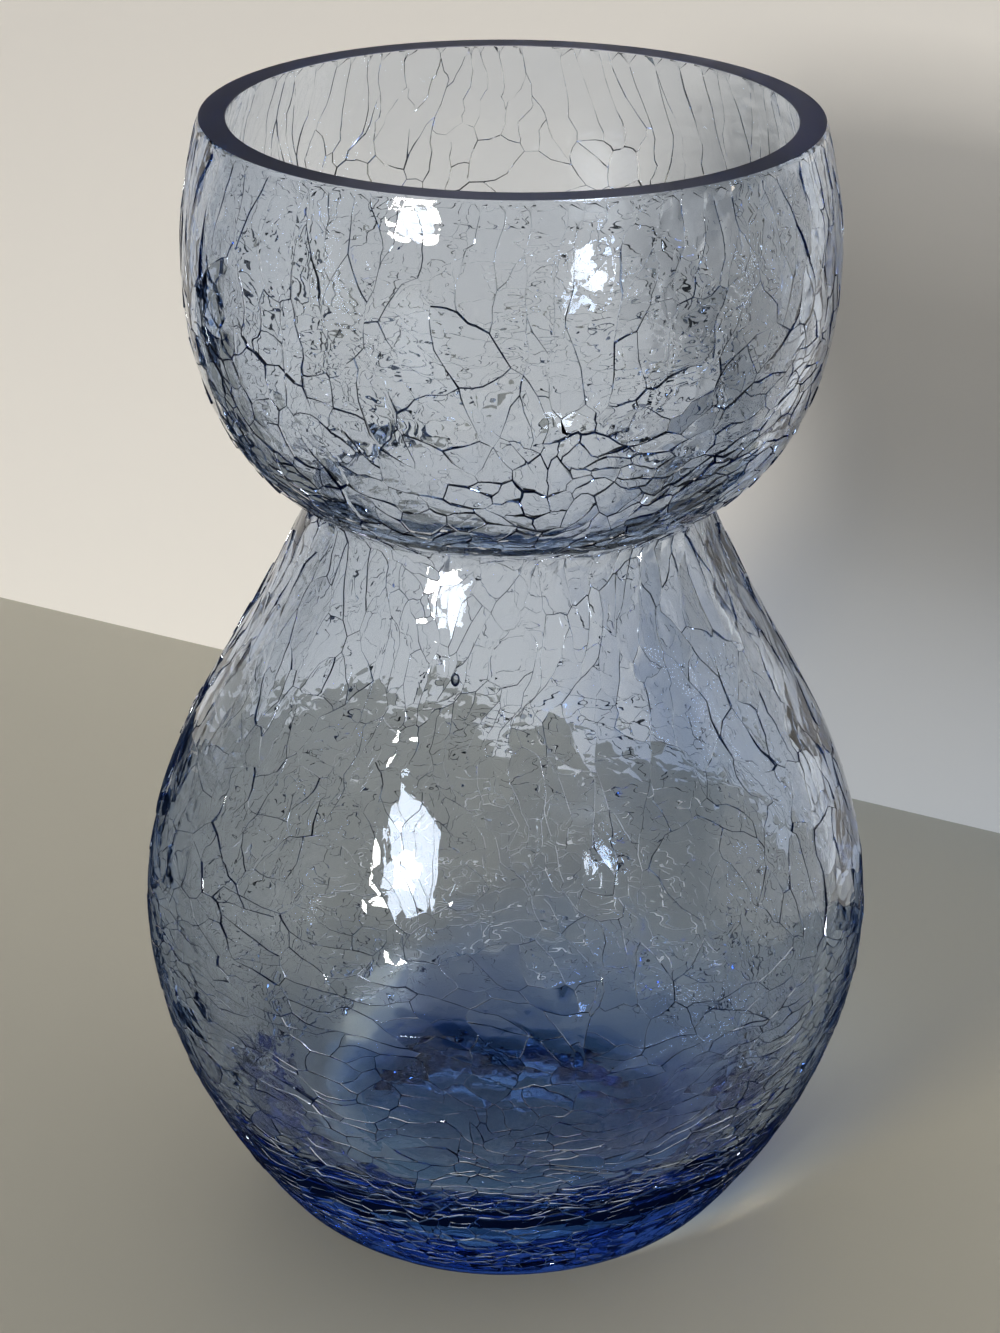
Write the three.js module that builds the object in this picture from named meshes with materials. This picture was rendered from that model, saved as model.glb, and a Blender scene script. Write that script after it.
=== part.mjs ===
// Bulb forcing vase of blown glass: a cup for the bulb, a pinched waist that it sits on,
// and a pear-shaped reservoir for the water and the roots, on a thick base.
// Millimetres, +Z up. The origin is the centre of the standing ring.
import * as THREE from "three";

// Heights
const reservoirHeight = 108.5; // table to the waist crease
const cupDepth = 51.5; // waist crease to the rim
const bellyHeight = 46; // table to the widest ring of the reservoir
const cupBulgeHeight = 31.8; // waist crease to the widest ring of the cup

// Outside diameters
const rimDiameter = 81;
const cupDiameter = 86.6;
const waistDiameter = 53.2;
const bellyDiameter = 103;
const footDiameter = 64.2; // where the side would meet the table if the heel were sharp

// Glass thickness
const rimWall = 3.6;
const cupWall = 3.4;
const waistWall = 3.4;
const bellyWall = 4.2;
const baseThickness = 7; // at the middle, above the table

// Directions of the outline, in degrees
const heelSlope = 49.4; // side above the table, at the foot
const shoulderLean = 21.3; // reservoir against the vertical, at the waist
const cupFloorSlope = 23.6; // underside of the cup above the level, at the waist
const rimLean = 15.2; // cup against the vertical, inwards at the rim

// How far each stretch of the outline holds its direction before it turns
const heelHold = 9.3;
const bellyHoldBelow = 20.1;
const bellyHoldAbove = 23.8;
const shoulderHold = 24.8;
const cupFloorHold = 10.6;
const bulgeHoldBelow = 16.7;
const bulgeHoldAbove = 7.8;
const rimHold = 8;

// Edges and the underside
const heelRound = 4.2; // height of the rounded heel
const creaseReach = 1.6; // of the small round in the crease, up and down from its corner
const rimArris = 0.5; // ground edge, inside and outside
const pushUpDiameter = 48; // of the hollow under the base
const pushUpDepth = 2.5;
const floorFlat = 2; // radius of the level middle of the bowl-shaped floor inside
const cornerHold = 12; // roundness of that bowl, at the wall and at the floor

// Where one zone of the wall hands over to the next
const rimBand = 4; // below the rim
const waistBandAbove = 9;
const waistBandBelow = 10;
const bellyBand = 14; // above the widest ring of the reservoir
const baseBand = 16; // above the floor inside

// Fineness of the facets
const facets = 56; // round the axis
const wallStep = 5; // along the outline of the wall
const creaseStep = 1;
const edgeSteps = 4; // in the heel
const floorSteps = 9; // in the inside corner, and half as many in the push-up
const halvings = 40; // when a height is looked up on a curve

const xy = (r, z) => new THREE.Vector2(r, z);
const radians = THREE.MathUtils.degToRad;

// Outline of the outside: foot to belly, belly to waist, waist to cup bulge, bulge to rim
const waistZ = reservoirHeight;
const rimZ = waistZ + cupDepth;
const bulgeZ = waistZ + cupBulgeHeight;
const foot = xy(footDiameter / 2, 0);
const belly = xy(bellyDiameter / 2, bellyHeight);
const waist = xy(waistDiameter / 2, waistZ);
const bulge = xy(cupDiameter / 2, bulgeZ);
const rim = xy(rimDiameter / 2, rimZ);

// A point at a distance from another, in a direction given from the level.
const along = (from, degrees, distance) =>
  xy(from.x + distance * Math.cos(radians(degrees)), from.y + distance * Math.sin(radians(degrees)));

const lowerSide = new THREE.CubicBezierCurve(
  foot, along(foot, heelSlope, heelHold), xy(belly.x, belly.y - bellyHoldBelow), belly);
const shoulder = new THREE.CubicBezierCurve(
  belly, xy(belly.x, belly.y + bellyHoldAbove), along(waist, shoulderLean - 90, shoulderHold), waist);
const cupSide = new THREE.CubicBezierCurve(
  waist, along(waist, cupFloorSlope, cupFloorHold), xy(bulge.x, bulge.y - bulgeHoldBelow), bulge);
const lipSide = new THREE.CubicBezierCurve(
  bulge, xy(bulge.x, bulge.y + bulgeHoldAbove), along(rim, rimLean - 90, rimHold), rim);

// The parameter at which a rising curve passes a height.
function paramAtHeight(curve, z) {
  let low = 0;
  let high = 1;
  for (let halving = 0; halving < halvings; halving++) {
    const middle = (low + high) / 2;
    if (curve.getPoint(middle).y < z) low = middle;
    else high = middle;
  }
  return low;
}

// The glass thins and thickens smoothly from one named ring to the next.
function wallAt(z) {
  const rings = [[bellyHeight, bellyWall], [waistZ, waistWall], [bulgeZ, cupWall], [rimZ, rimWall]];
  let wall = bellyWall;
  for (let i = 1; i < rings.length; i++) {
    const [z0, wall0] = rings[i - 1];
    const [z1, wall1] = rings[i];
    if (z > z0) wall = THREE.MathUtils.lerp(wall0, wall1, THREE.MathUtils.smoothstep(z, z0, z1));
  }
  return wall;
}

// Stations along a curve: a point on the outside, and the one square to it on the inside.
function stations(curve, from, to, step = wallStep) {
  const steps = Math.max(2, Math.ceil((curve.getLength() * (to - from)) / step));
  return Array.from({ length: steps + 1 }, (_, i) => {
    const t = from + ((to - from) * i) / steps;
    const outer = curve.getPoint(t);
    const way = curve.getTangent(t);
    const wall = wallAt(outer.y);
    return { outer, inner: xy(outer.x - way.y * wall, outer.y + way.x * wall) };
  });
}

// A zone of the wall, between its outside and its inside. Neighbours share their end stations.
const ring = (run) => [...run.map((s) => s.outer), ...run.map((s) => s.inner).reverse(), run[0].outer];
const joined = (...runs) => runs.flatMap((run, i) => (i ? run.slice(1) : run));

// The crease is the corner between shoulder and cup, taken off by a small round.
const creaseLow = paramAtHeight(shoulder, waistZ - creaseReach);
const creaseHigh = paramAtHeight(cupSide, waistZ + creaseReach);
const crease = new THREE.QuadraticBezierCurve(
  shoulder.getPoint(creaseLow), waist, cupSide.getPoint(creaseHigh));

const baseSeam = paramAtHeight(lowerSide, baseThickness + baseBand);
const bellySeam = paramAtHeight(shoulder, bellyHeight + bellyBand);
const waistLowSeam = paramAtHeight(shoulder, waistZ - waistBandBelow);
const waistHighSeam = paramAtHeight(cupSide, waistZ + waistBandAbove);
const rimSeam = paramAtHeight(lipSide, rimZ - rimBand);

function thickBase() {
  const heelTop = paramAtHeight(lowerSide, heelRound);
  const heelEnd = lowerSide.getPoint(heelTop);
  const standing = xy(foot.x - heelRound, 0);
  const heel = new THREE.QuadraticBezierCurve(standing, foot, heelEnd);
  const pushUp = new THREE.QuadraticBezierCurve(
    xy(0, pushUpDepth), xy(pushUpDiameter / 4, pushUpDepth), xy(pushUpDiameter / 2, 0));
  const side = stations(lowerSide, heelTop, baseSeam);
  const seam = side[side.length - 1];
  const down = lowerSide.getTangent(baseSeam).negate();
  const corner = new THREE.CubicBezierCurve(
    seam.inner,
    seam.inner.clone().addScaledVector(down, cornerHold),
    xy(floorFlat + cornerHold, baseThickness),
    xy(floorFlat, baseThickness));
  return [
    ...pushUp.getPoints(Math.ceil(floorSteps / 2)),
    ...heel.getPoints(edgeSteps),
    ...side.slice(1).map((s) => s.outer),
    ...corner.getPoints(floorSteps),
    xy(0, baseThickness),
  ];
}

const bellyZone = () => ring(joined(
  stations(lowerSide, baseSeam, 1), stations(shoulder, 0, bellySeam)));

const shoulderZone = () => ring(stations(shoulder, bellySeam, waistLowSeam));

const pinchedWaist = () => ring(joined(
  stations(shoulder, waistLowSeam, creaseLow),
  stations(crease, 0, 1, creaseStep),
  stations(cupSide, creaseHigh, waistHighSeam)));

const bulbCup = () => ring(joined(
  stations(cupSide, waistHighSeam, 1), stations(lipSide, 0, rimSeam)));

function groundRim() {
  const run = stations(lipSide, rimSeam, 1).slice(0, -1);
  const bore = rim.x - rimWall;
  return [
    ...run.map((s) => s.outer),
    xy(rim.x, rimZ - rimArris),
    xy(rim.x - rimArris, rimZ),
    xy(bore + rimArris, rimZ),
    xy(bore, rimZ - rimArris),
    ...run.map((s) => s.inner).reverse(),
    run[0].outer,
  ];
}

// Pale blue where the glass is thin, deep blue where it is thick or seen along its length
const blueGlass = (color, opacity) =>
  new THREE.MeshStandardMaterial({ color, opacity, transparent: true, roughness: 0.05, metalness: 0 });
const zones = [
  ["thick_base", thickBase(), blueGlass(0x2c4674, 0.8)],
  ["belly", bellyZone(), blueGlass(0x7488a6, 0.45)],
  ["shoulder", shoulderZone(), blueGlass(0x8c9bb4, 0.4)],
  ["pinched_waist", pinchedWaist(), blueGlass(0x7286a8, 0.55)],
  ["bulb_cup", bulbCup(), blueGlass(0x9aa8bc, 0.4)],
  ["ground_rim", groundRim(), blueGlass(0x3d4560, 0.8)],
];

const vase = new THREE.Group();
for (const [name, profile, glass] of zones) {
  const turned = new THREE.LatheGeometry(profile, facets).rotateX(Math.PI / 2);
  const zone = new THREE.Mesh(turned, glass);
  zone.name = name;
  vase.add(zone);
}

export default vase;
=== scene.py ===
import math
import random

import bmesh
import bpy
import numpy as np
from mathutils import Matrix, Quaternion, Vector, geometry, noise


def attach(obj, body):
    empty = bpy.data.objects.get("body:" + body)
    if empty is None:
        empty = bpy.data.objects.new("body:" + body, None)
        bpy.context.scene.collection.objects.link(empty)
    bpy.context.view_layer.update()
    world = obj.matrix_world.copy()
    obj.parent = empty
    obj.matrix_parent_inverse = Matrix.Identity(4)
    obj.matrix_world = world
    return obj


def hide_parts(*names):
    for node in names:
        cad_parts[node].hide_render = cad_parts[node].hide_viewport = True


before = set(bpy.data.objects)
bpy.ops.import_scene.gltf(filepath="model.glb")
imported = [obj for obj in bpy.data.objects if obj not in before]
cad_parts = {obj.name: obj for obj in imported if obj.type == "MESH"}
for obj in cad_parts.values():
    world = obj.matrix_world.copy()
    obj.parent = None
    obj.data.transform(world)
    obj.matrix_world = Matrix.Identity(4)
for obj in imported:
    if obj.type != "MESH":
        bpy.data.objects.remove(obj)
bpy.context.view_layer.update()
mm = 0.001


# Outline of the vase, in millimetres, the same as the turned solids' but for a finer arris
vaseForm = {
    "waistHeight": 108.5,
    "rimHeight": 160.0,
    "bellyHeight": 46.0,
    "bulgeHeight": 140.3,
    "rimRadius": 40.5,
    "cupRadius": 43.3,
    "waistRadius": 26.6,
    "bellyRadius": 51.5,
    "footRadius": 32.1,
    "rimWall": 3.6,
    "cupWall": 3.4,
    "waistWall": 3.4,
    "bellyWall": 4.2,
    "baseThickness": 7.0,
    "heelSlope": 49.4,  # degrees above the table
    "shoulderLean": 21.3,  # degrees from the vertical
    "cupFloorSlope": 23.6,
    "rimLean": 15.2,
    "heelHold": 9.3,  # how far each stretch keeps its direction
    "bellyHoldBelow": 20.1,
    "bellyHoldAbove": 23.8,
    "shoulderHold": 24.8,
    "cupFloorHold": 10.6,
    "bulgeHoldBelow": 16.7,
    "bulgeHoldAbove": 7.8,
    "rimHold": 8.0,
    "heelRound": 4.2,
    "creaseReach": 1.6,
    "rimArris": 0.1,
    "pushUpRadius": 24.0,
    "pushUpDepth": 2.5,
    "floorFlat": 2.0,
    "cornerHold": 12.0,
    "baseBand": 16.0,  # the bowl of the floor meets the wall this far up
    "innerWaves": ((16.0, 0.10), (7.0, 0.03)),  # length and reach of the waves inside
}

# Ice crackle on the outside
crackle = {
    "seed": 7,
    "columns": 180,  # grid of the skin before it cracks
    "rowStep": 1.6,
    "tubeRadius": 45.0,  # the skin is cracked as a straight tube, then wrapped on the vase
    "clearFoot": 9.0,  # smooth band above the table, along the outline
    "clearRim": 0.25,  # the same below the rim
    "snap": 0.4,  # points nearer than this to a cut move onto it
    "slack": 10,  # rounds of smoothing that turn straight cuts into rounded cells
    "halfWidth": 0.16,  # of a wide-open crack
    "depth": (0.04, 1.1),  # faintest cracks to most open
    "tilt": 0.026,  # of one plate against the next, in radians
    "crown": 0.0012,  # of a plate, per mm
    "bump": (0.4, 0.7),  # share of the fine bump on the reservoir and on the cup
    "bumpRise": (104.0, 118.0),  # heights between which it changes
    # Wavelength and reach of the bends
    "wander": ((40.0, 8.0), (16.0, 4.0), (6.0, 1.2), (3.2, 0.9), (2.0, 0.5)),
    # Height on the vase, wanted area of a plate in square mm, its upright stretch,
    # and how open its cracks are
    "bands": (
        (0, 9, 0.5, 0.8), (14, 9, 0.45, 0.8), (26, 10, 0.4, 0.6), (40, 12, 0.35, 0.4),
        (54, 17, 0.4, 0.3), (64, 46, 1.5, 0.25), (75, 54, 2.6, 0.25), (90, 44, 2.6, 0.25),
        (100, 36, 2.0, 0.3), (107, 28, 1.2, 0.4), (113, 11, 0.35, 1.2), (122, 16, 0.45, 1.3),
        (132, 26, 0.75, 1.15), (142, 36, 1.6, 0.7), (150, 54, 3.4, 0.3), (160, 70, 4.5, 0.18)),
}

# A seed, as glassmakers call a small air bubble, in the wall of the neck
bubble = {
    "height": 94.2,
    "turn": -12.0,  # degrees round from the front
    "depth": 1.5,  # of its middle, below the outside
    "width": 1.2,
    "length": 1.9,
}


def bezierRun(start, startHold, endHold, end, count=64):
    return [Vector(p) for p in geometry.interpolate_bezier(start, startHold, endHold, end, count)]


def softRun(start, corner, end, count=16):
    return bezierRun(start, start.lerp(corner, 2 / 3), end.lerp(corner, 2 / 3), end, count)


def stepFrom(point, degrees, distance):
    return point + Vector((math.cos(math.radians(degrees)), math.sin(math.radians(degrees)))) * distance


def above(run, height):
    return [p for p in run if p.y > height]


def below(run, height):
    return [p for p in run if p.y < height]


def smoothStep(low, high, value):
    t = min(max((value - low) / (high - low), 0), 1)
    return t * t * (3 - 2 * t)


def outsideRun(v):
    foot = Vector((v["footRadius"], 0))
    belly = Vector((v["bellyRadius"], v["bellyHeight"]))
    waist = Vector((v["waistRadius"], v["waistHeight"]))
    bulge = Vector((v["cupRadius"], v["bulgeHeight"]))
    rim = Vector((v["rimRadius"], v["rimHeight"]))
    up = Vector((0, 1))
    lowerSide = bezierRun(
        foot, stepFrom(foot, v["heelSlope"], v["heelHold"]), belly - up * v["bellyHoldBelow"], belly, 200)
    shoulder = bezierRun(
        belly, belly + up * v["bellyHoldAbove"],
        stepFrom(waist, v["shoulderLean"] - 90, v["shoulderHold"]), waist, 200)
    cupSide = bezierRun(
        waist, stepFrom(waist, v["cupFloorSlope"], v["cupFloorHold"]),
        bulge - up * v["bulgeHoldBelow"], bulge, 200)
    lipSide = bezierRun(
        bulge, bulge + up * v["bulgeHoldAbove"], stepFrom(rim, v["rimLean"] - 90, v["rimHold"]), rim, 100)
    lowerSide = above(lowerSide, v["heelRound"])
    shoulder = below(shoulder, v["waistHeight"] - v["creaseReach"])
    cupSide = above(cupSide, v["waistHeight"] + v["creaseReach"])
    lipSide = below(lipSide, v["rimHeight"] - v["rimArris"])
    heel = softRun(Vector((v["footRadius"] - v["heelRound"], 0)), foot, lowerSide[0], 30)
    crease = softRun(shoulder[-1], waist, cupSide[0], 20)
    return heel[:-1] + lowerSide + shoulder[1:-1] + crease + cupSide[1:] + lipSide[1:]


class Outline:
    # Points of a run by distance along it
    def __init__(self, run):
        self.run = run
        self.marks = [0.0]
        for a, b in zip(run, run[1:]):
            self.marks.append(self.marks[-1] + (b - a).length)
        self.length = self.marks[-1]

    def at(self, distance):
        distance = min(max(distance, 0), self.length)
        low, high = 0, len(self.marks) - 2
        while low < high:
            middle = (low + high + 1) // 2
            if self.marks[middle] <= distance:
                low = middle
            else:
                high = middle - 1
        a, b = self.run[low], self.run[low + 1]
        return a.lerp(b, (distance - self.marks[low]) / (self.marks[low + 1] - self.marks[low]))

    def normal(self, distance, reach=0.6):
        way = (self.at(distance + reach) - self.at(distance - reach)).normalized()
        return Vector((way.y, -way.x))


def wallAt(v, z):
    rings = [
        (v["bellyHeight"], v["bellyWall"]), (v["waistHeight"], v["waistWall"]),
        (v["bulgeHeight"], v["cupWall"]), (v["rimHeight"], v["rimWall"])]
    wall = rings[0][1]
    for (z0, wall0), (z1, wall1) in zip(rings, rings[1:]):
        if z > z0:
            wall = wall0 + (wall1 - wall0) * smoothStep(z0, z1, z)
    return wall


def insideRun(v, outside):
    # From the rim's outer arris over the ground flat, down the inside to the middle of the floor
    top, arris = v["rimHeight"], v["rimArris"]
    bore = v["rimRadius"] - v["rimWall"]
    run = [outside.run[-1], Vector((v["rimRadius"] - arris, top))]
    run += [Vector((bore + arris, top)), Vector((bore, top - arris))]
    seam = v["baseThickness"] + v["baseBand"]
    distance = outside.length
    wall = []
    while distance > 0:
        p = outside.at(distance)
        if p.y < seam:
            break
        inner = p - outside.normal(distance) * wallAt(v, p.y)
        if inner.y < top - 3 * arris:
            wall.append(inner)
        distance -= 0.6 if abs(p.y - v["waistHeight"]) < 5 else 2.6
    down = (wall[-1] - wall[-2]).normalized()
    floor = Vector((v["floorFlat"], v["baseThickness"]))
    level = Vector((v["cornerHold"], 0))
    corner = bezierRun(wall[-1], wall[-1] + down * v["cornerHold"], floor + level, floor, 16)
    flat = [Vector((v["floorFlat"] * f, v["baseThickness"])) for f in (0.8, 0.6, 0.4, 0.2, 0)]
    return run + wall + corner[1:] + flat


def undersideRun(v):
    heel = v["footRadius"] - v["heelRound"]
    ring = [Vector((heel, 0)), Vector((heel * 0.5 + v["pushUpRadius"] * 0.5, 0))]
    dome = softRun(
        Vector((v["pushUpRadius"], 0)), Vector((v["pushUpRadius"] / 2, v["pushUpDepth"])),
        Vector((0, v["pushUpDepth"])), 14)
    return ring + dome


def spunRun(bm, run, columns):
    # Spun apart and taken over in a fixed order, so that each run gives the same vase
    spun = bmesh.new()
    points = [spun.verts.new((p.x, 0, p.y)) for p in run]
    lines = [spun.edges.new(pair) for pair in zip(points, points[1:])]
    bmesh.ops.spin(
        spun, geom=points + lines, cent=(0, 0, 0), axis=(0, 0, 1), angle=math.tau, steps=columns,
        use_merge=True)
    spun.verts.index_update()
    loops = []
    for f in spun.faces:
        loop = [vert.index for vert in f.verts]
        first = loop.index(min(loop))
        loops.append(loop[first:] + loop[:first])
    verts = [bm.verts.new(vert.co) for vert in spun.verts]
    for loop in sorted(loops):
        bm.faces.new([verts[i] for i in loop])
    spun.free()


def plateKind(c, height):
    low = c["bands"][0]
    for high in c["bands"][1:]:
        if height <= high[0]:
            f = min(max((height - low[0]) / (high[0] - low[0]), 0), 1)
            return [x + (y - x) * f for x, y in zip(low, high)][1:]
        low = high
    return low[1:]


def unrolled(point, angle, radius):
    turn = math.atan2(point.y, point.x) - angle
    return radius * ((turn + math.pi) % math.tau - math.pi), point.z


def crackedPlates(bm, faces, outside, c, rng, age):
    radius = c["tubeRadius"]
    done, waiting = [], [(faces, 0)]
    while waiting:
        plate, depth = waiting.pop()
        centres = [f.calc_center_median() for f in plate]
        weights = [f.calc_area() for f in plate]
        area = sum(weights)
        mean = sum((p * w for p, w in zip(centres, weights)), Vector()) / area
        angle = math.atan2(mean.y, mean.x)
        wanted, stretch = plateKind(c, outside.at(mean.z).y)[:2]
        if len(plate) < 5 or area < wanted * rng.uniform(0.7, 1.7):
            done.append(plate)
            continue
        if depth == 0:
            across, shift = Vector((1, 0)), 0.0
            angle = rng.uniform(0, math.tau)
        else:
            flat = [unrolled(p, angle, radius) for p in centres]
            u0 = sum(u * w for (u, s), w in zip(flat, weights)) / area
            spread = [0.0, 0.0, 0.0]
            for (u, s), w in zip(flat, weights):
                du, ds = (u - u0) * math.sqrt(stretch), (s - mean.z) / math.sqrt(stretch)
                spread[0] += w * du * du
                spread[1] += w * du * ds
                spread[2] += w * ds * ds
            lean = 0.5 * math.atan2(2 * spread[1], spread[0] - spread[2]) + rng.gauss(0, 0.38)
            across = Vector((math.cos(lean) * math.sqrt(stretch), math.sin(lean) / math.sqrt(stretch)))
            across.normalize()
            shift = math.sqrt(area) * rng.uniform(-0.13, 0.13)
            angle += u0 / radius
        level = Vector((-math.sin(angle), math.cos(angle), 0))
        normal = level * across.x + Vector((0, 0, 1)) * across.y
        through = Vector((radius * math.cos(angle), radius * math.sin(angle), mean.z)) + normal * shift
        edges = dict.fromkeys(e for f in plate for e in f.edges)
        verts = dict.fromkeys(v for f in plate for v in f.verts)
        cut = bmesh.ops.bisect_plane(
            bm, geom=plate + list(edges) + list(verts), dist=c["snap"], plane_co=through, plane_no=normal)
        for g in cut["geom_cut"]:
            if isinstance(g, bmesh.types.BMVert) and g[age] == 0:
                g[age] = depth + 1
        halves = ([], [])
        for g in cut["geom"]:
            if isinstance(g, bmesh.types.BMFace):
                halves[(g.calc_center_median() - through).dot(normal) > 0].append(g)
        if not halves[0] or not halves[1]:
            done.append(plate)
            continue
        waiting += [(half, depth + 1) for half in halves]
    return done


def slackened(bm, plateOf, c, length):
    # Cracks pull straight between their meeting points, so that plates end up rounded
    bm.verts.index_update()
    co = np.array([vert.co for vert in bm.verts])
    loose = (co[:, 2] > 2) & (co[:, 2] < length - 2)
    pairs = np.array([[e.verts[0].index, e.verts[1].index] for e in bm.edges])
    crack = np.array([len({f[plateOf] for f in e.link_faces}) > 1 for e in bm.edges])
    onCrack = np.zeros(len(co), bool)
    onCrack[pairs[crack].ravel()] = True
    pairs = np.concatenate([pairs, pairs[:, ::-1]])
    crack = np.concatenate([crack, crack])
    pairs = pairs[crack | ~onCrack[pairs[:, 0]]]
    count = np.bincount(pairs[:, 0], minlength=len(co))[:, None]
    for turn in range(c["slack"]):
        mean = np.stack([np.bincount(pairs[:, 0], co[pairs[:, 1], k], len(co)) for k in range(3)], 1) / count
        co[loose] += 0.5 * (mean - co)[loose]
        co[:, :2] *= c["tubeRadius"] / np.linalg.norm(co[:, :2], axis=1)[:, None]
    for vert, place in zip(bm.verts, co):
        vert.co = place


def crackedSkin(c, outside):
    rng = random.Random(c["seed"])
    bm = bmesh.new()
    age, opened = (bm.verts.layers.float.new(name) for name in ("age", "opened"))
    plateOf = bm.faces.layers.int.new("plate")
    skin, groove = (bm.faces.layers.float.new(name) for name in ("skin", "groove"))
    for name in ("ground", "deep"):
        bm.faces.layers.float.new(name)
    rows = round(outside.length / c["rowStep"])
    top = outside.length - c["clearRim"]
    upright = [Vector((c["tubeRadius"], top * i / rows)) for i in range(rows + 1)]
    spunRun(bm, upright + [Vector((c["tubeRadius"], outside.length))], c["columns"])
    whole = [f for f in bm.faces if c["clearFoot"] < f.calc_center_median().z < top]
    plates = crackedPlates(bm, whole, outside, c, rng, age)
    print("cracked into", len(plates), "plates,", len(bm.faces), "faces")
    for number, plate in enumerate(plates, 1):
        for f in plate:
            f[plateOf] = number
    slackened(bm, plateOf, c, outside.length)

    # Bends in the cracks: the skin slides along itself, and stays put at the foot and the rim
    for vert in bm.verts:
        radius, angle, s = c["tubeRadius"], math.atan2(vert.co.y, vert.co.x), vert.co.z
        du = ds = 0.0
        for k, (wave, reach) in enumerate(c["wander"]):
            at = vert.co / wave
            du += reach * noise.noise(at + Vector((11.3 * k, 0, 5.1)))
            ds += reach * noise.noise(at + Vector((3.7, 19.9 * k, 41.0)))
        fade = smoothStep(0, 12, s) * smoothStep(0, 12, outside.length - s)
        angle += du * fade / radius
        vert.co = (radius * math.cos(angle), radius * math.sin(angle), s + ds * fade)

    # Each plate is parted from the next, drawn in a little, and tied again along the cracks
    cracks = [e for e in bm.edges if len({f[plateOf] for f in e.link_faces}) > 1]
    bmesh.ops.split_edges(bm, edges=cracks)
    made = bmesh.ops.inset_region(
        bm, faces=[f for f in bm.faces if f[plateOf]], use_boundary=True, use_even_offset=True,
        thickness=c["halfWidth"])
    bumpLow, bumpHigh = c["bump"]
    for f in bm.faces:
        rise = smoothStep(*c["bumpRise"], outside.at(f.calc_center_median().z).y)
        f[skin] = (bumpLow + (bumpHigh - bumpLow) * rise) * (f[plateOf] > 0)
    for f in made["faces"]:
        f[groove] = 1
    bmesh.ops.remove_doubles(bm, verts=bm.verts, dist=0.01)

    # How open a crack is, from place to place; the narrow ones close up
    spines = {vert for vert in bm.verts if vert.link_faces and all(f[groove] for f in vert.link_faces)}
    for vert in spines:
        old = 1 - min(max(vert[age] - 3, 0), 9) / 9
        openness = plateKind(c, outside.at(vert.co.z).y)[2]
        patchy = smoothStep(-0.4, 0.4, noise.noise(vert.co / 9) + 0.4 * noise.noise(vert.co / 3))
        fade = smoothStep(c["clearFoot"], c["clearFoot"] + 4, vert.co.z)
        fade *= smoothStep(0.3, 1.2, outside.length - vert.co.z)
        vert[opened] = openness * (0.08 + 0.92 * patchy) * (0.35 + 0.65 * old) * fade
    for vert in bm.verts:
        if vert not in spines:
            for e in vert.link_edges:
                spine = e.other_vert(vert)
                if spine in spines:
                    vert.co = spine.co.lerp(vert.co, 0.25 + 0.75 * spine[opened])
                    break

    centres = {}
    for f in bm.faces:
        if f[plateOf] and not f[groove]:
            centres.setdefault(f[plateOf], []).append(f.calc_center_median())
    tilts = {}
    for number in sorted(centres):
        mean = sum(centres[number], Vector()) / len(centres[number])
        tilts[number] = mean, rng.gauss(0, c["tilt"]), rng.gauss(0, c["tilt"])
    shallow, steep = c["depth"]
    for vert in bm.verts:
        own = [f[plateOf] for f in vert.link_faces if f[plateOf] and not f[groove]]
        lift = 0.0
        if own:
            mean, tiltRound, tiltUp = tilts[own[0]]
            u, rise = unrolled(vert.co, math.atan2(mean.y, mean.x), c["tubeRadius"])
            rise -= mean.z
            lift = u * tiltRound + rise * tiltUp - (u * u + rise * rise) * c["crown"]
            lift = min(max(lift, -0.35), 0.3)
        elif vert in spines:
            lift = -(shallow + (steep - shallow) * vert[opened])
        s = min(max(vert.co.z, 0), outside.length)
        angle = math.atan2(vert.co.y, vert.co.x)
        fade = smoothStep(c["clearFoot"] - 1, c["clearFoot"] + 5, s)
        fade *= smoothStep(0.2, 1.2, outside.length - s)
        p = outside.at(s) + outside.normal(s) * lift * fade
        vert.co = Vector((p.x * math.cos(angle), p.x * math.sin(angle), p.y)) * mm
    for f in bm.faces:
        if f[groove]:
            f[groove] = max(vert[opened] for vert in f.verts)
    print("wrapped the skin,", len(cracks), "crack edges")
    return bm


def plainShell(v, c, outside):
    # Ground rim, inside wall and floor, and the underside
    bm = bmesh.new()
    ground, deep = (bm.faces.layers.float.new(name) for name in ("ground", "deep"))
    for run in (insideRun(v, outside), undersideRun(v)):
        spunRun(bm, [p * mm for p in run], c["columns"])
    for vert in bm.verts:
        z = vert.co.z / mm
        wave = sum(noise.noise(vert.co / (length * mm)) * reach for length, reach in v["innerWaves"])
        wave *= smoothStep(v["baseThickness"], v["baseThickness"] + 10, z)
        wave *= smoothStep(2, 14, v["rimHeight"] - z)
        vert.co += Vector((vert.co.x, vert.co.y, 0)).normalized() * wave * mm
    for f in bm.faces:
        z = f.calc_center_median().z / mm
        f[ground] = float(z > v["rimHeight"] - v["rimArris"])
        f[deep] = 1 - smoothStep(v["baseThickness"] + 1, v["baseThickness"] + 5, z)
    return bm


def seedBubble(bm, b, outside):
    distance = next(d for d, p in zip(outside.marks, outside.run) if p.y > b["height"])
    place = outside.at(distance) - outside.normal(distance) * b["depth"]
    turn = math.radians(b["turn"] - 90)
    made = bmesh.ops.create_icosphere(bm, subdivisions=3, radius=0.5 * mm)["verts"]
    bmesh.ops.scale(bm, verts=made, vec=(b["width"], b["width"], b["length"]))
    bmesh.ops.translate(
        bm, verts=made, vec=Vector((place.x * math.cos(turn), place.x * math.sin(turn), place.y)) * mm)
    bmesh.ops.reverse_faces(bm, faces=list({f for vert in made for f in vert.link_faces}))


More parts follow.
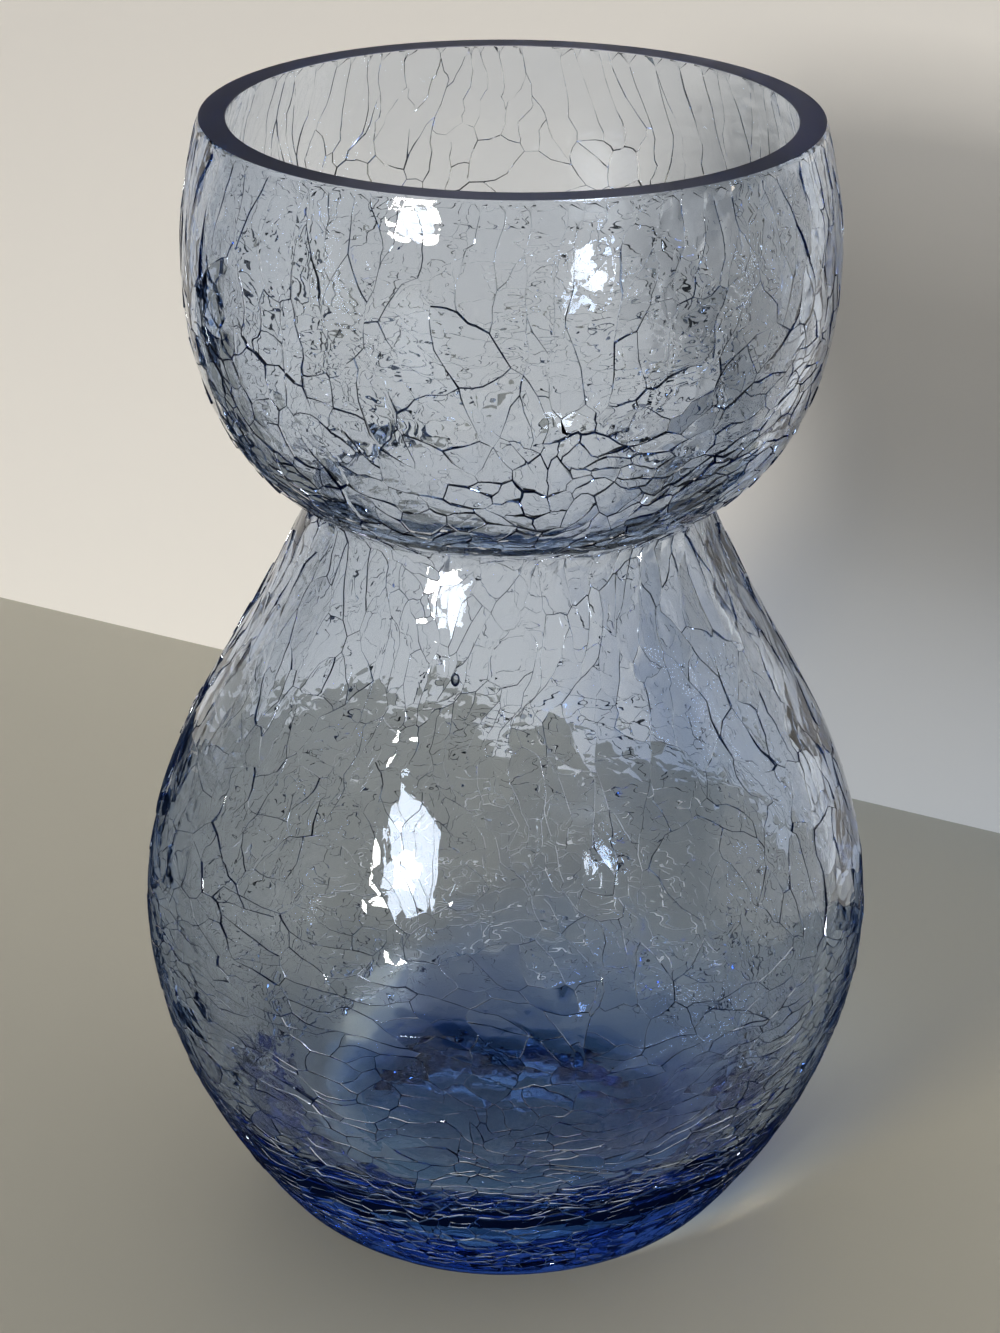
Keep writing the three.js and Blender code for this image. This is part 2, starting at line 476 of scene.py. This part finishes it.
def crackledVessel(v, c, b):
    outside = Outline(outsideRun(v))
    bm = crackedSkin(c, outside)
    shell = plainShell(v, c, outside)
    mesh = bpy.data.meshes.new("crackle_glass_vase")
    shell.to_mesh(mesh)
    shell.free()
    bm.from_mesh(mesh)
    bmesh.ops.remove_doubles(bm, verts=bm.verts, dist=0.004 * mm)
    # A few slivers pinch where cracks meet: they are taken out and the holes closed
    for turn in range(8):
        odd = [e for e in bm.edges if not e.is_manifold]
        if not odd:
            break
        pinched = list(dict.fromkeys(f for e in odd for f in e.link_faces))
        bmesh.ops.delete(bm, geom=pinched, context="FACES")
        bmesh.ops.delete(bm, geom=[e for e in bm.edges if e.is_wire], context="EDGES")
        bmesh.ops.holes_fill(bm, edges=[e for e in bm.edges if e.is_boundary], sides=0)
    bmesh.ops.recalc_face_normals(bm, faces=bm.faces)
    bmesh.ops.triangulate(bm, faces=[f for f in bm.faces if len(f.verts) > 4])
    bmesh.ops.collapse(bm, edges=[e for e in bm.edges if not e.is_manifold])
    seedBubble(bm, b, outside)
    for f in bm.faces:
        f.smooth = True
    for e in bm.edges:
        e.smooth = e.calc_face_angle(0) < math.radians(22)
    gaps = sum(not e.is_contiguous for e in bm.edges)
    bm.to_mesh(mesh)
    bm.free()
    mesh.validate()
    piece = bpy.data.objects.new("crackle_glass_vase", mesh)
    bpy.context.collection.objects.link(piece)
    mesh.calc_loop_triangles()
    print("vessel:", len(mesh.loop_triangles), "triangles, open edges", gaps)
    return piece


# Materials
def linear(code):
    parts = [int(code[i:i + 2], 16) / 255 for i in (1, 3, 5)]
    return tuple(p / 12.92 if p <= 0.04045 else ((p + 0.055) / 1.055) ** 2.4 for p in parts) + (1.0,)


def addNode(material, kind, inputs=(), links=(), **settings):
    node = material.node_tree.nodes.new(kind)
    for name, value in settings.items():
        setattr(node, name, value)
    for key, value in dict(inputs).items():
        node.inputs[key].default_value = value
    for key, socket in dict(links).items():
        material.node_tree.links.new(socket, node.inputs[key])
    return node


def newMaterial(name):
    material = bpy.data.materials.new(name)
    material.use_nodes = True
    material.node_tree.nodes.clear()
    return material


glassLook = {
    "tint": "#50a6e7",
    "density": 54.0,
    "ior": 1.5,
    # Crack grooves: partly their own dirt and scatter, partly painted shade
    "crackDirtAndShadeColour": "#6c7999",
    "rimColour": "#817990",
    "rimGrain": 0.4,
    "floorColour": "#7caec4",  # the floor and the underside, which look into the deep glass of the base
    "cells": 300.0,  # to a metre
    "cellLean": 0.05,
    "ripples": 260.0,  # to a metre
    "rippleHeight": 0.0001,
    # Light that a lamp sends on through each surface, by share of the height
    "castHeight": 0.16,
    "cast": (
        (0.03, (1.74, 1.69, 1.6, 1)), (0.11, (0.94, 0.94, 0.94, 1)), (0.4, (0.93, 0.93, 0.93, 1)),
        (0.62, (0.71, 0.70, 0.69, 1))),
}


def blueGlass(g):
    # Blown soda-lime glass, pale blue: clear where the wall is thin, navy where light runs along it
    white = (1, 1, 1, 1)
    material = newMaterial("blown_blue_glass")
    skin, groove, ground, deep = (
        addNode(material, "ShaderNodeAttribute", attribute_name=name)
        for name in ("skin", "groove", "ground", "deep"))
    place = addNode(material, "ShaderNodeTexCoord")
    # Painted shade in part: the crack grooves are tinted darker, partly for the fissures' own dirt and
    # scatter, partly so that the cracks read as dark lines in any light
    cracked = addNode(material, "ShaderNodeMix", {6: white, 7: linear(g["crackDirtAndShadeColour"])}, {
        0: groove.outputs["Fac"]}, data_type="RGBA")
    shade = addNode(material, "ShaderNodeMix", {7: linear(g["rimColour"])}, {
        0: ground.outputs["Fac"], 6: cracked.outputs[2]}, data_type="RGBA")
    depth = addNode(material, "ShaderNodeMix", {6: white, 7: linear(g["floorColour"])}, {
        0: deep.outputs["Fac"]}, data_type="RGBA")
    colour = addNode(material, "ShaderNodeMix", {0: 1.0}, {
        6: shade.outputs[2], 7: depth.outputs[2]}, data_type="RGBA", blend_type="MULTIPLY")
    grain = addNode(material, "ShaderNodeMath", {1: g["rimGrain"]}, {
        0: ground.outputs["Fac"]}, operation="MULTIPLY")
    # Hairline crackle inside the plates: small cells of about 3 mm, each leaning its own way
    bend = addNode(material, "ShaderNodeTexNoise", {"Scale": 120.0, "Detail": 1.0}, {
        "Vector": place.outputs["Object"]})
    bent = addNode(material, "ShaderNodeVectorMath", {1: (0.004, 0.004, 0.004)}, {
        0: bend.outputs["Color"], 2: place.outputs["Object"]}, operation="MULTIPLY_ADD")
    cells = addNode(material, "ShaderNodeTexVoronoi", {"Scale": g["cells"]}, {
        "Vector": bent.outputs["Vector"]})
    fromMiddle = addNode(material, "ShaderNodeVectorMath", links={
        0: bent.outputs["Vector"], 1: cells.outputs["Position"]}, operation="SUBTRACT")
    lean = addNode(material, "ShaderNodeVectorMath", {1: (0.5, 0.5, 0.5)}, {
        0: cells.outputs["Color"]}, operation="SUBTRACT")
    height = addNode(material, "ShaderNodeVectorMath", links={
        0: fromMiddle.outputs["Vector"], 1: lean.outputs["Vector"]}, operation="DOT_PRODUCT")
    border = addNode(material, "ShaderNodeTexVoronoi", {"Scale": g["cells"]}, {
        "Vector": bent.outputs["Vector"]}, feature="DISTANCE_TO_EDGE")
    inward = addNode(material, "ShaderNodeMapRange", {2: 0.2}, {0: border.outputs["Distance"]})
    facet = addNode(material, "ShaderNodeMath", links={
        0: height.outputs["Value"], 1: inward.outputs["Result"]}, operation="MULTIPLY")
    hairlines = addNode(material, "ShaderNodeBump", {"Distance": g["cellLean"]}, {
        "Strength": skin.outputs["Fac"], "Height": facet.outputs["Value"]})
    # Fine level ripples, which break up the window's reflection
    level = addNode(material, "ShaderNodeVectorMath", {1: (1, 1, 2.5)}, {
        0: place.outputs["Object"]}, operation="MULTIPLY")
    ripple = addNode(material, "ShaderNodeTexNoise", {"Scale": g["ripples"], "Detail": 0.5}, {
        "Vector": level.outputs["Vector"]})
    bump = addNode(material, "ShaderNodeBump", {"Distance": g["rippleHeight"]}, {
        "Strength": skin.outputs["Fac"], "Height": ripple.outputs["Fac"],
        "Normal": hairlines.outputs["Normal"]})
    glass = addNode(material, "ShaderNodeBsdfPrincipled", {"IOR": g["ior"], "Transmission Weight": 1.0}, {
        "Base Color": colour.outputs[2], "Roughness": grain.outputs["Value"],
        "Normal": bump.outputs["Normal"]})
    # What lamps cast through the wall: the base gathers their light, the cup scatters it
    path = addNode(material, "ShaderNodeLightPath")
    upward = addNode(material, "ShaderNodeSeparateXYZ", links={0: place.outputs["Object"]})
    share = addNode(material, "ShaderNodeMapRange", {2: g["castHeight"]}, {0: upward.outputs["Z"]})
    cast = addNode(material, "ShaderNodeValToRGB", links={0: share.outputs["Result"]})
    stops = cast.color_ramp.elements
    stops.remove(stops[1])
    stops[0].position, stops[0].color = g["cast"][0]
    for position, passed in g["cast"][1:]:
        stops.new(position).color = passed
    clear = addNode(material, "ShaderNodeBsdfTransparent", links={"Color": cast.outputs["Color"]})
    mix = addNode(material, "ShaderNodeMixShader", links={
        0: path.outputs["Is Shadow Ray"], 1: glass.outputs["BSDF"], 2: clear.outputs["BSDF"]})
    tint = addNode(material, "ShaderNodeVolumeAbsorption", {
        "Color": linear(g["tint"]), "Density": g["density"]})
    addNode(material, "ShaderNodeOutputMaterial", links={
        "Surface": mix.outputs["Shader"], "Volume": tint.outputs["Volume"]})
    return material


def paint(name, code, roughness):
    material = newMaterial(name)
    coat = addNode(material, "ShaderNodeBsdfPrincipled", {
        "Base Color": linear(code), "Roughness": roughness, "Specular IOR Level": 0.5})
    addNode(material, "ShaderNodeOutputMaterial", links={"Surface": coat.outputs["BSDF"]})
    return material


def seenFromFront(name, code, paintedShadeCode=None):
    # Backdrop paint that is clear from behind, so that the vase can be looked at from all sides
    material = newMaterial(name)
    coat = addNode(material, "ShaderNodeBsdfDiffuse", {"Color": linear(code)})
    if paintedShadeCode:
        # Painted shade: it darkens from the foot of the wall to its upper left corner, standing in for the
        # window's light falling off
        place = addNode(material, "ShaderNodeTexCoord")
        rise = addNode(material, "ShaderNodeVectorMath", {1: (-0.4, 0, 1)}, {
            0: place.outputs["Object"]}, operation="DOT_PRODUCT")
        share = addNode(material, "ShaderNodeMapRange", {1: 0.026, 2: 0.162}, {0: rise.outputs["Value"]})
        fade = addNode(material, "ShaderNodeMix", {6: linear(code), 7: linear(paintedShadeCode)}, {
            0: share.outputs["Result"]}, data_type="RGBA")
        material.node_tree.links.new(fade.outputs[2], coat.inputs["Color"])
    clear = addNode(material, "ShaderNodeBsdfTransparent")
    side = addNode(material, "ShaderNodeNewGeometry")
    mix = addNode(material, "ShaderNodeMixShader", links={
        0: side.outputs["Backfacing"], 1: coat.outputs["BSDF"], 2: clear.outputs["BSDF"]})
    addNode(material, "ShaderNodeOutputMaterial", links={"Surface": mix.outputs["Shader"]})
    return material


vase = crackledVessel(vaseForm, crackle, bubble)
vase.data.materials.append(blueGlass(glassLook))
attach(vase, "root")
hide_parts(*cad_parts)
print("vase dressed")


# Stage
stageForm = {
    "floorColour": "#bbb8ab",
    "wallColour": "#f4efe7",
    # Painted shade: the wall's colour at its upper left corner, darker than at its foot
    "wallPaintedShadeColour": "#dcd7d0",
    "wallFoot": ((-0.1088, 0.2073), (0.0903, 0.1041)),  # the wall's foot on the floor, behind the vase
    "wallHeight": 1.2,
    "flagPaintedShadeColour": "#202020",
    "flagHeights": (0.185, 0.7),
    "cardPaintedShadeColour": "#18243c",
    "cardHeight": 0.0005,
    "frontCard": ((-0.25, -0.2), (0.25, -0.036)),
    "reach": 1.5,
}


def plainSheet(name, corners, material):
    bm = bmesh.new()
    bm.faces.new([bm.verts.new(p) for p in corners])
    mesh = bpy.data.meshes.new(name)
    bm.to_mesh(mesh)
    bm.free()
    sheet = bpy.data.objects.new(name, mesh)
    sheet.data.materials.append(material)
    bpy.context.collection.objects.link(sheet)
    return sheet


def levelSheet(name, low, high, height, material):
    (x0, y0), (x1, y1) = low, high
    return plainSheet(
        name, [(x0, y0, height), (x1, y0, height), (x1, y1, height), (x0, y1, height)], material)


def hide(piece, *rays):
    for ray in rays:
        setattr(piece, "visible_" + ray, False)


reach = stageForm["reach"]
wholeFloor = (-reach, -reach), (reach, reach)
levelSheet("floor", *wholeFloor, 0, paint("floor_paint", stageForm["floorColour"], 0.4))
left, right = (Vector((*p, 0)) for p in stageForm["wallFoot"])
way = (right - left).normalized()
left, right = left - way * reach, right + way * reach
top = Vector((0, 0, stageForm["wallHeight"]))
plainSheet(
    "wall", [left, right, right + top, left + top],
    seenFromFront("wall_paint", stageForm["wallColour"], stageForm["wallPaintedShadeColour"]))

# A black flag in front of the wall's upper part, which the glass sees and the camera does not: painted
# shade, a dark sheet that darkens the room the glass shows above the wall
low, high = (Vector((0, 0, z)) + Vector((way.y, -way.x, 0)) * 0.004 for z in stageForm["flagHeights"])
flag = plainSheet(
    "flag", [left + low, right + low, right + high, left + high],
    seenFromFront("black_flag", stageForm["flagPaintedShadeColour"]))
hide(flag, "camera", "diffuse", "shadow")

# Dark cards on the floor, painted shade that only the glass shows: one that only reflections see, which
# darkens the floor in the vase's reflections, and one in front that the glass sees, which darkens the base
card = levelSheet(
    "card", *wholeFloor, stageForm["cardHeight"], seenFromFront("dark_card", stageForm["cardPaintedShadeColour"]))
hide(card, "camera", "diffuse", "shadow", "transmission")
frontCard = levelSheet(
    "front_card", *stageForm["frontCard"], stageForm["cardHeight"],
    seenFromFront("dark_front_card", stageForm["cardPaintedShadeColour"]))
hide(frontCard, "camera", "diffuse", "shadow")
print("stage set")

# Light: pale to look at, dimmer in the glass
roomLight = {
    "strength": 0.15,
    "moreForCamera": 0.55,
    "moreForMirrors": -0.08,
}
world = bpy.data.worlds.new("room")
bpy.context.scene.world = world
world.use_nodes = True
path = addNode(world, "ShaderNodeLightPath")
seen = addNode(world, "ShaderNodeMath", {1: roomLight["moreForCamera"], 2: roomLight["strength"]}, {
    0: path.outputs["Is Camera Ray"]}, operation="MULTIPLY_ADD")
mirrored = addNode(world, "ShaderNodeMath", {1: roomLight["moreForMirrors"]}, {
    0: path.outputs["Is Glossy Ray"], 2: seen.outputs["Value"]}, operation="MULTIPLY_ADD")
world.node_tree.links.new(
    mirrored.outputs["Value"], world.node_tree.nodes["Background"].inputs["Strength"])
world.node_tree.nodes["Background"].inputs["Color"].default_value = (1, 1, 1, 1)


def areaLamp(name, azimuth, elevation, distance, width, height, radiance):
    a, e = math.radians(azimuth), math.radians(elevation)
    back = Vector((math.sin(a) * math.cos(e), -math.cos(a) * math.cos(e), math.sin(e)))
    lamp = bpy.data.lights.new(name, "AREA")
    lamp.shape = "RECTANGLE"
    lamp.size, lamp.size_y = width, height
    lamp.energy = radiance * width * height * math.pi
    spot = bpy.data.objects.new(name, lamp)
    spot.location = Vector((0, 0, 0.08)) + back * distance
    spot.rotation_mode = "QUATERNION"
    spot.rotation_quaternion = (-back).to_track_quat("-Z", "Y")
    bpy.context.collection.objects.link(spot)
    return spot


# Azimuth and elevation in degrees, distance, width and height in metres, radiance
areaLamp("window", -34, 17, 2.0, 0.5, 0.4, 47)
# The same window in the cracks and on the back of the vase, where it is seen through the glass
hide(areaLamp("window_glints", -34, 17, 1.99, 0.5, 0.4, 100), "diffuse", "glossy")
hide(areaLamp("ceiling", 0, 80, 2.5, 3.0, 3.0, 0.18), "glossy", "transmission")

# Camera, as the photograph was taken
cameraForm = {
    "pitch": 24.96,
    "distance": 0.420,
    "aim": 0.0812,
    "roll": 0.52,
    "focalPixels": 3000,
    "shiftPixels": 7.5,
    "longSidePixels": 1333,
    "sensor": 36.0,  # mm
}
lens = bpy.data.cameras.new("camera")
lens.sensor_width = cameraForm["sensor"]
lens.lens = cameraForm["focalPixels"] * cameraForm["sensor"] / cameraForm["longSidePixels"]
lens.shift_x = -cameraForm["shiftPixels"] / cameraForm["longSidePixels"]
lens.clip_start = 0.01
camera = bpy.data.objects.new("camera", lens)
pitch = math.radians(cameraForm["pitch"])
back = Vector((0, -math.cos(pitch), math.sin(pitch)))
camera.location = Vector((0, 0, cameraForm["aim"])) + back * cameraForm["distance"]
camera.rotation_mode = "QUATERNION"
turn = (-back).to_track_quat("-Z", "Y")
camera.rotation_quaternion = turn @ Quaternion((0, 0, 1), math.radians(cameraForm["roll"]))
bpy.context.collection.objects.link(camera)
bpy.context.scene.camera = camera

scene = bpy.context.scene
scene.view_settings.view_transform = "Standard"
scene.cycles.max_bounces = 24
scene.cycles.transmission_bounces = 24
scene.cycles.glossy_bounces = 8
scene.cycles.transparent_max_bounces = 24
scene.cycles.caustics_refractive = False
scene.cycles.caustics_reflective = False
